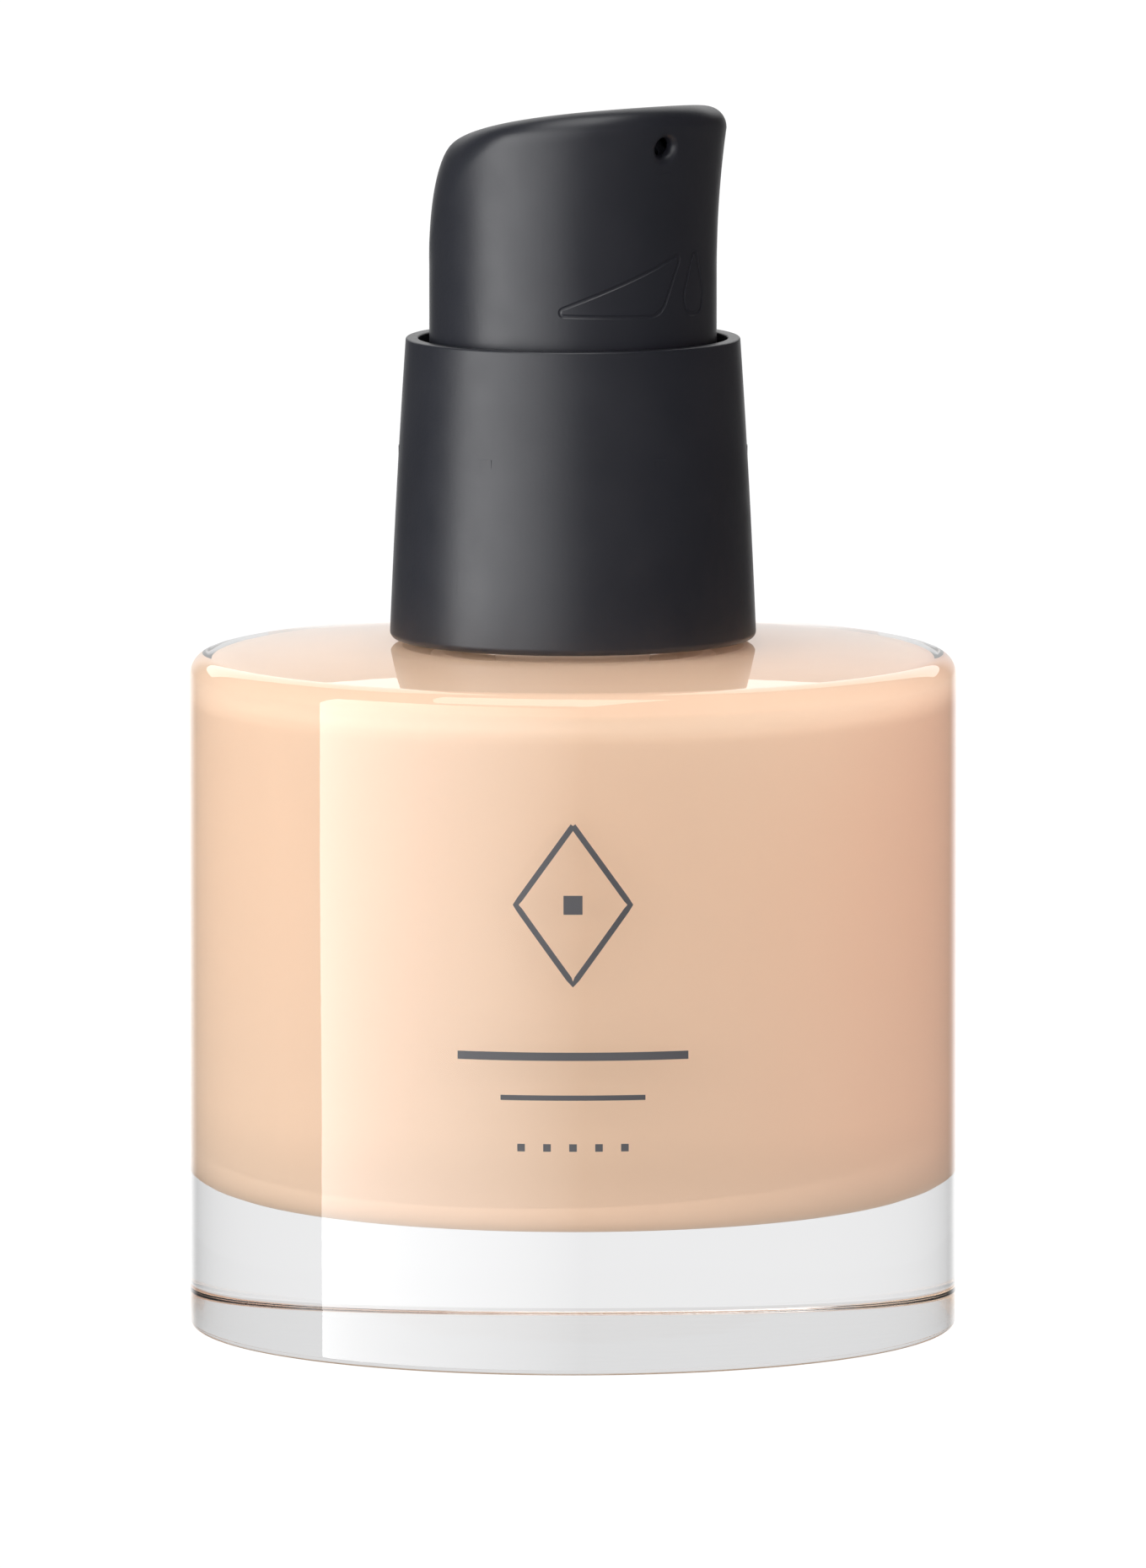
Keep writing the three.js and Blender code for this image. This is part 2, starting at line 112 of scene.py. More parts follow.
HOUSING_BORE = 3.75
HOUSING_RADIUS = 4.5
HOUSING_TOP = 49.7
FLANGE_RADIUS = 6.4
FLANGE = 0.85
SOCKET_RADIUS = 2.5  # of the tail that holds the dip tube
SOCKET_BORE = 1.62
SOCKET_BOTTOM = 25.0
CHAMBER_FLOOR = 33.2
BALL_SEAT = 29.8
BALL_RADIUS = 1.5
SEAT_BORE = 1.1
TUBE_RADIUS = 1.5
TUBE_BORE = 0.9
TUBE_BOTTOM = 8.7
STEM_RADIUS = 1.75
STEM_BORE = 0.9
STEM_TOP = 61.0
PISTON_BOTTOM = 44.0
SPRING_RADIUS = 2.7
SPRING_WIRE = 0.25
SPRING_BOTTOM = 34.2
SPRING_TOP = 42.1
SPRING_TURNS = 5

FINE = 168  # facets round the large pieces
COARSE = 72  # facets round the small ones


# ---- mesh helpers ----


def outline(corners, closed=True, steps=8):
    """Points (radius, height) through corners (radius, height, fillet); a fillet becomes an arc."""
    points = []
    count = len(corners)
    for i, corner in enumerate(corners):
        here = Vector(corner[:2])
        fillet = corner[2] if len(corner) > 2 else 0
        if not fillet or (not closed and i in (0, count - 1)):
            points.append(here)
            continue
        before = (Vector(corners[i - 1][:2]) - here).normalized()
        after = (Vector(corners[(i + 1) % count][:2]) - here).normalized()
        half = before.angle(after) / 2
        centre = here + (before + after).normalized() * (fillet / math.sin(half))
        start = here + before * (fillet / math.tan(half)) - centre
        end = here + after * (fillet / math.tan(half)) - centre
        sweep = math.atan2(start.x * end.y - start.y * end.x, start.dot(end))
        for k in range(steps + 1):
            points.append(centre + Matrix.Rotation(sweep * k / steps, 2) @ start)
    return points


def mesh_of(name, vertices, faces):
    """A piece from vertices in millimetres."""
    mesh = bpy.data.meshes.new(name)
    mesh.from_pydata([Vector(v) * MM for v in vertices], [], faces)
    mesh.update()
    piece = bpy.data.objects.new(name, mesh)
    bpy.context.scene.collection.objects.link(piece)
    return piece


def turned(name, points, facets, closed=True):
    """An outline turned about the Z axis. An open one starts and ends on the axis."""
    vertices = []
    rows = []
    for p in points:
        if p.x < 1e-6:
            rows.append([len(vertices)] * facets)
            vertices.append((0, 0, p.y))
            continue
        rows.append(list(range(len(vertices), len(vertices) + facets)))
        for k in range(facets):
            a = 2 * math.pi * k / facets
            vertices.append((p.x * math.cos(a), p.x * math.sin(a), p.y))
    faces = []
    for i in range(len(rows) if closed else len(rows) - 1):
        here, above = rows[i], rows[(i + 1) % len(rows)]
        for k in range(facets):
            corners = [here[k], here[(k + 1) % facets], above[(k + 1) % facets], above[k]]
            faces.append(list(dict.fromkeys(corners)))
    return mesh_of(name, vertices, [f for f in faces if len(f) > 2])


def tube(name, centres, section, closed=False, up=None):
    """A section (list of (across, along up) offsets) swept along points."""
    centres = [Vector(c) for c in centres]
    count, size = len(centres), len(section)
    vertices = []
    for i, c in enumerate(centres):
        ahead = centres[(i + 1) % count] if closed or i + 1 < count else c
        behind = centres[i - 1] if closed or i else c
        tangent = (ahead - behind).normalized()
        side = tangent.cross(up(c) if up else Vector((0, 0, 1))).normalized()
        over = side.cross(tangent)
        vertices += [c + side * u + over * v for u, v in section]
    faces = []
    for i in range(count if closed else count - 1):
        j = (i + 1) % count
        for k in range(size):
            m = (k + 1) % size
            faces.append((i * size + k, i * size + m, j * size + m, j * size + k))
    if not closed:
        faces.append(tuple(range(size))[::-1])
        faces.append(tuple((count - 1) * size + k for k in range(size)))
    piece = mesh_of(name, vertices, faces)
    outward(piece)
    return piece


def circle(radius, sides):
    """A round section for a tube."""
    turn = [2 * math.pi * k / sides for k in range(sides)]
    return [(radius * math.cos(a), radius * math.sin(a)) for a in turn]


def cuboid(name, low, high):
    """A box from its lowest to its highest corner."""
    corners = [(x, y, z) for z in (low[2], high[2]) for y in (low[1], high[1]) for x in (low[0], high[0])]
    faces = [(0, 2, 3, 1), (4, 5, 7, 6), (0, 1, 5, 4), (2, 6, 7, 3), (0, 4, 6, 2), (1, 3, 7, 5)]
    return mesh_of(name, corners, faces)


def outward(piece):
    """Turns every face to look outward."""
    work = bmesh.new()
    work.from_mesh(piece.data)
    bmesh.ops.recalc_face_normals(work, faces=work.faces)
    work.to_mesh(piece.data)
    work.free()


def moved(piece, matrix):
    """The piece, with its mesh moved."""
    piece.data.transform(matrix)
    return piece


def combine(piece, tools, operation):
    """Joins tools to a piece, or cuts them out of it, and removes them."""
    for tool in tools:
        change = piece.modifiers.new("combine", "BOOLEAN")
        change.operation = operation
        change.solver = "EXACT"
        change.object = tool
    graph = bpy.context.evaluated_depsgraph_get()
    graph.update()
    made = bpy.data.meshes.new_from_object(piece.evaluated_get(graph))
    piece.modifiers.clear()
    piece.data = made
    for tool in tools:
        bpy.data.objects.remove(tool)
    tidy(piece)


def tidy(piece):
    """Merges the specks that a join leaves."""
    work = bmesh.new()
    work.from_mesh(piece.data)
    bmesh.ops.remove_doubles(work, verts=work.verts, dist=2e-7)
    bmesh.ops.dissolve_degenerate(work, edges=work.edges, dist=1e-7)
    work.to_mesh(piece.data)
    work.free()


def finish_piece(piece, body, shader, node=None, sharp=35):
    """Shades a piece, gives it its material, fixes it to its CAD body and hides the CAD part it stands
    for.
    """
    piece.data.materials.clear()
    piece.data.materials.append(shader)
    piece.data.shade_smooth()
    piece.data.set_sharp_from_angle(angle=math.radians(sharp))
    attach(piece, body)
    if node:
        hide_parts(node)


# ---- materials ----


def new_material(name, **inputs):
    """A material with the named inputs of its Principled BSDF set; a name's _ stands for a space."""
    shader = bpy.data.materials.new(name)
    shader.use_nodes = True
    principled = shader.node_tree.nodes["Principled BSDF"]
    for key, value in inputs.items():
        principled.inputs[key.replace("_", " ")].default_value = value
    return shader, shader.node_tree, principled


def noise(tree, scale, detail=3.0, stretch=(1, 1, 1)):
    """Noise over the piece's own place, in waves per metre, stretched along an axis."""
    place = tree.nodes.new("ShaderNodeTexCoord")
    mapping = tree.nodes.new("ShaderNodeMapping")
    texture = tree.nodes.new("ShaderNodeTexNoise")
    mapping.inputs["Scale"].default_value = stretch
    texture.inputs["Scale"].default_value = scale
    texture.inputs["Detail"].default_value = detail
    tree.links.new(place.outputs["Object"], mapping.inputs["Vector"])
    tree.links.new(mapping.outputs["Vector"], texture.inputs["Vector"])
    return texture.outputs["Fac"]


def spread(tree, value, low, high):
    """Maps the middle of a noise to a range of values."""
    node = tree.nodes.new("ShaderNodeMapRange")
    node.inputs["From Min"].default_value = 0.3
    node.inputs["From Max"].default_value = 0.7
    node.inputs["To Min"].default_value = low
    node.inputs["To Max"].default_value = high
    tree.links.new(value, node.inputs["Value"])
    return node.outputs["Result"]


def two_tone(tree, value, first, second):
    """A mix of two colours by a value from 0 to 1."""
    node = tree.nodes.new("ShaderNodeMix")
    node.data_type = "RGBA"
    node.inputs["A"].default_value = (*first, 1)
    node.inputs["B"].default_value = (*second, 1)
    tree.links.new(value, node.inputs["Factor"])
    return node.outputs["Result"]


def bump(tree, principled, value, strength, distance):
    """Bumps of a height in metres."""
    node = tree.nodes.new("ShaderNodeBump")
    node.inputs["Strength"].default_value = strength
    node.inputs["Distance"].default_value = distance
    tree.links.new(value, node.inputs["Height"])
    tree.links.new(node.outputs["Normal"], principled.inputs["Normal"])


def moulded(name, first, second, roughness, grain=0.25):
    """Moulded plastic: a slight change of tone, uneven gloss and a fine spark-eroded grain."""
    tone_waves, gloss_waves, grain_waves, grain_height = 140, 420, 5200, 0.00002
    shader, tree, principled = new_material(name, Roughness=sum(roughness) / 2)
    tone = two_tone(tree, spread(tree, noise(tree, tone_waves), 0, 1), first, second)
    tree.links.new(tone, principled.inputs["Base Color"])
    tree.links.new(spread(tree, noise(tree, gloss_waves), *roughness), principled.inputs["Roughness"])
    bump(tree, principled, noise(tree, grain_waves, 4), grain, grain_height)
    return shader


def clear_glass():
    """Flint glass with faint upright waves from its mould. Shadow rays pass straight through it."""
    shader, tree, principled = new_material(
        "clear_glass", Roughness=0.0, IOR=1.5, Transmission_Weight=1.0
    )
    tint_waves, mould_waves, upright = 90, 260, (1, 1, 0.12)
    cloud = spread(tree, noise(tree, tint_waves), 0, 1)
    tint = two_tone(tree, cloud, (0.985, 0.986, 0.993), (0.993, 0.994, 0.998))
    tree.links.new(tint, principled.inputs["Base Color"])
    bump(tree, principled, noise(tree, mould_waves, 2, upright), 0.06, 0.0002)
    output = tree.nodes["Material Output"]
    rays = tree.nodes.new("ShaderNodeLightPath")
    pass_light = tree.nodes.new("ShaderNodeBsdfTransparent")
    choose = tree.nodes.new("ShaderNodeMixShader")
    pass_light.inputs["Color"].default_value = (0.97, 0.975, 0.975, 1)
    tree.links.new(rays.outputs["Is Shadow Ray"], choose.inputs["Fac"])
    tree.links.new(principled.outputs["BSDF"], choose.inputs[1])
    tree.links.new(pass_light.outputs["BSDF"], choose.inputs[2])
    tree.links.new(choose.outputs["Shader"], output.inputs["Surface"])
    return shader


def foundation_cream():
    """Opaque cream of fine pigment, with slow swirls of a pinker tone."""
    shader, tree, principled = new_material(
        "foundation_cream", Roughness=0.38, Specular_IOR_Level=0.08
    )
    swirl_waves, pigment_waves, upright = 45, 900, (1, 1, 0.5)
    swirl = spread(tree, noise(tree, swirl_waves, 2, upright), 0, 1)
    tone = two_tone(tree, swirl, (0.80, 0.60, 0.44), (0.78, 0.565, 0.41))
    tree.links.new(tone, principled.inputs["Base Color"])
    bump(tree, principled, noise(tree, pigment_waves, 3), 0.1, 0.00005)
    return shader


def spring_steel():
    """Bright drawn steel with fine marks round it."""
    shader, tree, principled = new_material("spring_steel", Metallic=1.0)
    tone_waves, drawn_waves, level = 700, 2600, (1, 1, 6)
    cloud = spread(tree, noise(tree, tone_waves), 0, 1)
    tone = two_tone(tree, cloud, (0.60, 0.61, 0.63), (0.70, 0.71, 0.72))
    tree.links.new(tone, principled.inputs["Base Color"])
    gloss = spread(tree, noise(tree, drawn_waves, 3, level), 0.18, 0.3)
    tree.links.new(gloss, principled.inputs["Roughness"])
    return shader


SATIN_BLACK = moulded("satin_black", (0.0050, 0.0057, 0.0082), (0.0066, 0.0074, 0.0102), (0.36, 0.42))
NATURAL_PP = moulded("natural_pp", (0.74, 0.74, 0.70), (0.80, 0.80, 0.77), (0.32, 0.4), 0.12)
SOFT_PE = moulded("soft_pe", (0.82, 0.82, 0.79), (0.88, 0.88, 0.86), (0.45, 0.55), 0.12)
GASKET_FOAM = moulded("gasket_foam", (0.80, 0.79, 0.76), (0.88, 0.87, 0.85), (0.7, 0.85), 0.6)
INK = moulded("printed_ink", (0.030, 0.031, 0.035), (0.042, 0.043, 0.048), (0.42, 0.5), 0.1)
GLASS = clear_glass()
CREAM = foundation_cream()
STEEL = spring_steel()


# ---- glass, foundation, print ----


def helix_ridge(name, root, crest, start_height, turns, start_turn=0.0):
    """A thread ridge of trapezium section that fades in and out at its ends."""
    steps_per_turn, fade_rate, least_fade = 72, 12, 0.15
    foot, flank, crest_half = 0.52, 0.24, 0.12  # half widths
    sunk_by, crest_rise = 0.3, 0.03
    steps = round(turns * steps_per_turn)
    outward_sign = 1 if crest > root else -1
    vertices, faces = [], []
    for i in range(steps + 1):
        t = i / steps
        a = 2 * math.pi * (start_turn + turns * t)
        z = start_height + THREAD_PITCH * (start_turn + turns * t)
        fade = min(1.0, fade_rate * min(t, 1 - t) + least_fade)
        top = root + (crest - root) * fade
        ridge = top + outward_sign * crest_rise * fade
        half = [(root - outward_sign * sunk_by, foot), (root, foot), (top, flank), (ridge, crest_half)]
        section = [(r, -dz) for r, dz in half] + half[::-1]
        vertices += [(r * math.cos(a), r * math.sin(a), z + dz) for r, dz in section]
    size = len(section)
    for i in range(steps):
        for k in range(size):
            m = (k + 1) % size
            faces.append((i * size + k, i * size + m, (i + 1) * size + m, (i + 1) * size + k))
    faces.append(tuple(range(size)))
    faces.append(tuple(steps * size + k for k in range(size)))
    piece = mesh_of(name, vertices, faces)
    outward(piece)
    return piece


def glass_bottle():
    """The body with its thick base, domed shoulder and threaded neck, as one closed outline."""
    lip_round = 0.3
    corners = [
        (0, 0),
        (BODY_RADIUS, 0, HEEL_ROUND),
        (BODY_RADIUS, BODY_TOP, SHOULDER_ROUND),
        (CROWN_RADIUS, CROWN, SHOULDER_ARC),
        (NECK_RADIUS, CROWN, 0.6),
        (NECK_RADIUS, NECK_TOP, lip_round),
        (NECK_BORE, NECK_TOP, lip_round),
        (NECK_BORE, CEILING + SHOULDER_RISE, 0.8),
        (CROWN_RADIUS, CEILING + SHOULDER_RISE, SHOULDER_ARC),
        (UPPER_INSIDE, CEILING, CEILING_ROUND),
        (LOWER_INSIDE, BASE_TOP, BOWL),
        (0, BASE_TOP),
    ]
    body = turned("glass_body", outline(corners, closed=False, steps=10), FINE, closed=False)
    crest, turns = NECK_RADIUS + THREAD_DEPTH, 1.1
    thread = helix_ridge("neck_thread", NECK_RADIUS, crest, NECK_THREAD_START, turns)
    combine(body, [thread], "UNION")
    finish_piece(body, "bottle", GLASS, "glass_bottle", sharp=50)


def foundation():
    """The cream wets the glass, so it lies a hair inside the glass wall with no air between."""
    wet = 0.02
    top = CEILING + SHOULDER_RISE + wet
    round_tube, round_socket, round_housing = TUBE_RADIUS + GAP, SOCKET_RADIUS + GAP, HOUSING_RADIUS + GAP
    socket_end = SOCKET_BOTTOM - 0.4
    corners = [
        (round_tube, BASE_TOP - wet),
        (LOWER_INSIDE + wet, BASE_TOP - wet, BOWL),
        (UPPER_INSIDE + wet, CEILING + wet, CEILING_ROUND),
        (CROWN_RADIUS, top, SHOULDER_ARC),
        (round_housing, top, 0.3),
        (round_housing, CHAMBER_FLOOR - 0.6, 0.4),
        (round_socket, BALL_SEAT - 1.2, 0.4),
        (round_socket, socket_end, 0.3),
        (round_tube, socket_end, 0.3),
    ]
    fill = turned("foundation", outline(corners, steps=10), FINE)
    finish_piece(fill, "bottle", CREAM, "foundation_fill")


def printed_strip(name, path, half_width):
    """A line of ink through (distance round the glass, height), laid on the body."""
    ink_lift = 0.002
    vertices, faces = [], []
    for i, here in enumerate(path):
        ahead = path[min(i + 1, len(path) - 1)]
        behind = path[max(i - 1, 0)]
        along = (Vector(ahead) - Vector(behind)).normalized()
        across = Vector((-along.y, along.x)) * half_width
        for point in (Vector(here) + across, Vector(here) - across):
            a = point.x / BODY_RADIUS
            for r in (BODY_RADIUS + ink_lift, BODY_RADIUS + INK_DEPTH):
                vertices.append((r * math.sin(a), -r * math.cos(a), point.y))
    for i in range(len(path) - 1):
        a, b = 4 * i, 4 * (i + 1)
        faces += [
            (a, b, b + 1, a + 1),
            (a + 1, b + 1, b + 3, a + 3),
            (a + 3, b + 3, b + 2, a + 2),
            (a + 2, b + 2, b, a),
        ]
    end = 4 * (len(path) - 1)
    faces += [(0, 1, 3, 2), (end, end + 2, end + 3, end + 1)]
    piece = mesh_of(name, vertices, faces)
    outward(piece)
    finish_piece(piece, "bottle", INK)


def printed_ornament():
    """A plain ornament: a square in an open lozenge, over two rules and a row of dots."""
    middle, half, slimness = 27.4, 4.6, 0.72
    corners = [(0.0, half), (half * slimness, 0.0), (0.0, -half), (-half * slimness, 0.0)]
    steps = 14
    lozenge = []
    for (x0, z0), (x1, z1) in zip(corners, corners[1:] + corners[:1]):
        for k in range(steps):
            t = k / steps
            lozenge.append((x0 + (x1 - x0) * t, middle + z0 + (z1 - z0) * t))
    lozenge.append(lozenge[0])
    printed_strip("ornament_lozenge", lozenge, 0.17)
    square = 0.55
    printed_strip("ornament_square", [(-square, middle), (square, middle)], square)
    rule_steps = 24
    for name, length, height, weight in (
        ("ornament_long_rule", 13.5, 18.6, 0.24),
        ("ornament_short_rule", 8.4, 16.2, 0.15),
    ):
        rule = [(-length / 2 + length * k / rule_steps, height) for k in range(rule_steps + 1)]
        printed_strip(name, rule, weight)
    dots, spacing, dot, dot_height = 5, 1.5, 0.22, 13.3
    for k in range(dots):
        x = spacing * (k - dots // 2)
        ends = [(x - dot, dot_height), (x + dot, dot_height)]
        printed_strip("ornament_dot_%d" % (k + 1), ends, dot)


# ---- pump ----


def pump_engine():
    """The stepped housing with its vent, the cap snapped into its top, and the neck gasket."""
    ball_chamber = 2.0
    housing = [
        (SOCKET_BORE, SOCKET_BOTTOM, 0.1),
        (SOCKET_RADIUS, SOCKET_BOTTOM, 0.2),
        (SOCKET_RADIUS, BALL_SEAT - 0.6, 0.5),
        (HOUSING_RADIUS, CHAMBER_FLOOR - 0.2, 0.6),
        (HOUSING_RADIUS, HOUSING_TOP - FLANGE, 0.2),
        (FLANGE_RADIUS, HOUSING_TOP - FLANGE, 0.12),
        (FLANGE_RADIUS, HOUSING_TOP, 0.12),
        (HOUSING_BORE, HOUSING_TOP, 0.12),
        (HOUSING_BORE, CHAMBER_FLOOR, 0.1),
        (ball_chamber, CHAMBER_FLOOR, 0.1),
        (ball_chamber, BALL_SEAT, 0.1),
        (SEAT_BORE, BALL_SEAT),
        (SEAT_BORE, BALL_SEAT - 0.7),
        (SOCKET_BORE, BALL_SEAT - 0.7),
    ]
    body = turned("housing", outline(housing, steps=4), COARSE)
    vent_height = 45.6
    vent = tube("vent", [(3, 0, vent_height), (5, 0, vent_height)], circle(0.35, 20))
    combine(body, [vent], "DIFFERENCE")
    finish_piece(body, "pump", NATURAL_PP, "pump_housing")

    recess, brim, turret = 2.6, 6.2, 3.6  # radii
    plug, guide = HOUSING_BORE - 0.1, STEM_RADIUS + 0.15
    brim_top, turret_top = 50.45, 53.6
    cap = [
        (recess, 47.5),
        (plug, 47.5, 0.12),
        (plug, HOUSING_TOP + 0.05),
        (brim, HOUSING_TOP + 0.05, 0.12),
        (brim, brim_top, 0.15),
        (turret, brim_top, 0.1),
        (turret, 51.5, 0.08),
        (4.15, 51.55, 0.12),
        (turret, 52.1, 0.1),
        (turret, turret_top, 0.3),
        (guide, turret_top, 0.2),
        (guide, 48.2),
        (recess, 48.2),
    ]
    cap_piece = turned("turret_cap", outline(cap, steps=4), COARSE)
    finish_piece(cap_piece, "pump", NATURAL_PP, "housing_cap")

    hole, rim = HOUSING_RADIUS + 0.15, 6.5
    under, over = NECK_TOP + 0.05, HOUSING_TOP - 0.9
    gasket = [(hole, under, 0.1), (rim, under, 0.15), (rim, over, 0.15), (hole, over, 0.1)]
    gasket_piece = turned("gasket", outline(gasket, steps=4), COARSE)
    finish_piece(gasket_piece, "pump", GASKET_FOAM, "neck_gasket")


def valve_and_tube():
    """The slotted cage over the ball, the ball on its seat, and the dip tube cut on a bias."""
    hole, rim = 0.8, HOUSING_BORE - 0.1
    under, plate_top, cage_top = CHAMBER_FLOOR + 0.05, CHAMBER_FLOOR + 0.65, CHAMBER_FLOOR + 1.8
    cage = [
        (hole, under),
        (rim, under, 0.08),
        (rim, plate_top, 0.08),
        (2.1, plate_top, 0.1),
        (1.8, cage_top, 0.15),
        (hole, cage_top, 0.1),
    ]
    piece = turned("cage", outline(cage, steps=4), COARSE)
    low, high = CHAMBER_FLOOR - 0.3, CHAMBER_FLOOR + 0.9
    reach, half = 2.3, 0.4
    slots = [
        cuboid("slot_x", (-reach, -half, low), (reach, half, high)),
        cuboid("slot_y", (-half, -reach, low), (half, reach, high)),
    ]
    combine(piece, slots, "DIFFERENCE")
    finish_piece(piece, "pump", NATURAL_PP, "ball_cage")

    clearance = 0.04
    centre = BALL_SEAT + math.sqrt(BALL_RADIUS**2 - SEAT_BORE**2) + clearance
    rings = 32
    arc = [-math.pi / 2 + math.pi * k / rings for k in range(rings + 1)]
    profile = [
        Vector((max(0.0, BALL_RADIUS * math.cos(a)), centre + BALL_RADIUS * math.sin(a))) for a in arc
    ]
    ball = turned("inlet_ball", profile, 64, closed=False)
    finish_piece(ball, "inlet_valve", STEEL, "check_ball")

    tube_top = BALL_SEAT - 0.9
    tube_outline = [
        (TUBE_BORE, TUBE_BOTTOM),
        (TUBE_RADIUS, TUBE_BOTTOM),
        (TUBE_RADIUS, tube_top, 0.08),
        (TUBE_BORE, tube_top, 0.08),
    ]
    dip = turned("dip_straw", outline(tube_outline, steps=3), COARSE)
    bias = cuboid("bias", (-4, -4, -4), (4, 4, 0))
    bias_angle = 0.45  # radians
    place = Matrix.Translation((0, 0, (TUBE_BOTTOM + 0.8) * MM))
    moved(bias, place @ Matrix.Rotation(bias_angle, 4, "Y"))
    combine(dip, [bias], "DIFFERENCE")
    finish_piece(dip, "pump", SOFT_PE, "dip_tube")


def plunger_parts():
    """The ported stem with its collar, the plug in its lower end, and the piston that slides on it."""
    collar, collar_bottom, collar_top = 2.4, 47.4, 48.1
    stem = [
        (STEM_BORE, PISTON_BOTTOM),
        (STEM_RADIUS, PISTON_BOTTOM, 0.08),
        (STEM_RADIUS, collar_bottom, 0.08),
        (collar, collar_bottom, 0.1),
        (collar, collar_top, 0.1),
        (STEM_RADIUS, collar_top, 0.1),
        (STEM_RADIUS, STEM_TOP, 0.2),
        (STEM_BORE, STEM_TOP, 0.1),
    ]
    tube_piece = turned("stem_tube", outline(stem, steps=4), COARSE)
    low, high = PISTON_BOTTOM - 0.9, PISTON_BOTTOM + 0.9
    combine(tube_piece, [cuboid("port", (-2.5, -0.4, low), (2.5, 0.4, high))], "DIFFERENCE")
    finish_piece(tube_piece, "plunger", NATURAL_PP, "stem")

    foot, foot_bottom, plug, plug_top = 3.0, 42.4, STEM_BORE - 0.08, 46.4
    core = [
        (0, foot_bottom),
        (foot, foot_bottom, 0.1),
        (foot, 43.2, 0.1),
        (2.3, PISTON_BOTTOM - 0.1, 0.1),
        (plug, PISTON_BOTTOM - 0.1, 0.1),
        (plug, plug_top, 0.15),
        (0, plug_top),
    ]
    core_piece = turned("core_plug", outline(core, closed=False, steps=4), COARSE, closed=False)
    finish_piece(core_piece, "plunger", NATURAL_PP, "plunger_core")

    hole, lip_inside, lip, waist = STEM_RADIUS + 0.08, 3.25, HOUSING_BORE - 0.1, HOUSING_BORE - 0.3
    piston = [
        (hole, PISTON_BOTTOM, 0.05),
        (2.9, PISTON_BOTTOM, 0.1),
        (lip_inside, PISTON_BOTTOM - 0.5, 0.1),
        (lip, PISTON_BOTTOM - 0.5, 0.1),
        (waist, PISTON_BOTTOM + 0.4, 0.3),
        (waist, PISTON_BOTTOM + 2.2, 0.3),
        (lip, PISTON_BOTTOM + 2.9, 0.1),
        (lip_inside, PISTON_BOTTOM + 2.9, 0.1),
        (2.8, PISTON_BOTTOM + 2.3, 0.2),
        (hole, PISTON_BOTTOM + 2.3, 0.1),
    ]
    piston_piece = turned("piston", outline(piston, steps=4), COARSE)
    finish_piece(piston_piece, "piston", SOFT_PE, "piston_seal")


def return_spring():
    """An even wire coil at one length; it doesn't shorten as the plunger goes down."""
    steps = SPRING_TURNS * 48
    path = []
    for i in range(steps + 1):
        t = i / steps
        a = 2 * math.pi * SPRING_TURNS * t
        z = SPRING_BOTTOM + (SPRING_TOP - SPRING_BOTTOM) * t
        path.append((SPRING_RADIUS * math.cos(a), SPRING_RADIUS * math.sin(a), z))
    coil = tube("spring_coil", path, circle(SPRING_WIRE, 14))
    finish_piece(coil, "pump", STEEL, "return_spring")
    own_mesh(coil)


# ---- closure ----


def screw_closure():
    """The threaded cap under the sleeve, with a hole for the pump's turret and twelve grip ribs."""
    inside = NECK_RADIUS + THREAD_DEPTH + 0.2
    hole, roof = 3.9, 50.5
    corners = [
        (inside, CLOSURE_BOTTOM, 0.15),
        (CLOSURE_RADIUS, CLOSURE_BOTTOM, 0.2),
        (CLOSURE_RADIUS, CLOSURE_TOP, 0.3),
        (hole, CLOSURE_TOP, 0.1),
        (hole, roof, 0.1),
        (inside, roof, 0.2),
    ]
    body = turned("closure_body", outline(corners, steps=5), 120)
    crest = NECK_RADIUS + 0.23
    start = NECK_THREAD_START - THREAD_PITCH / 2 + 0.28  # between the neck's ridges, a little high
    turns, start_turn = 0.8, 0.1
    thread = helix_ridge("closure_thread", inside, crest, start, turns, start_turn)
    count, rib_radius, rib_bottom, rib_top = 12, 0.27, 42.0, 50.4
    ribs = []
    for i in range(count):
        ends = [(CLOSURE_RADIUS, 0, rib_bottom), (CLOSURE_RADIUS, 0, rib_top)]
        rib = tube("rib", ends, circle(rib_radius, 12), up=lambda c: Vector((1, 0, 0)))
        ribs.append(moved(rib, Matrix.Rotation(2 * math.pi * (i + 0.5) / count, 4, "Z")))
    combine(body, [thread, *ribs], "UNION")
    finish_piece(body, "closure", SATIN_BLACK, "screw_closure")


def sleeve_radius(z):
    """The sleeve's outside: a straight taper with a slight bulge."""
    t = (z - SLEEVE_BOTTOM) / (SLEEVE_TOP - SLEEVE_BOTTOM)
    straight = SLEEVE_BOTTOM_RADIUS + (SLEEVE_TOP_RADIUS - SLEEVE_BOTTOM_RADIUS) * t
    return straight + 4 * SLEEVE_BULGE * t * (1 - t)


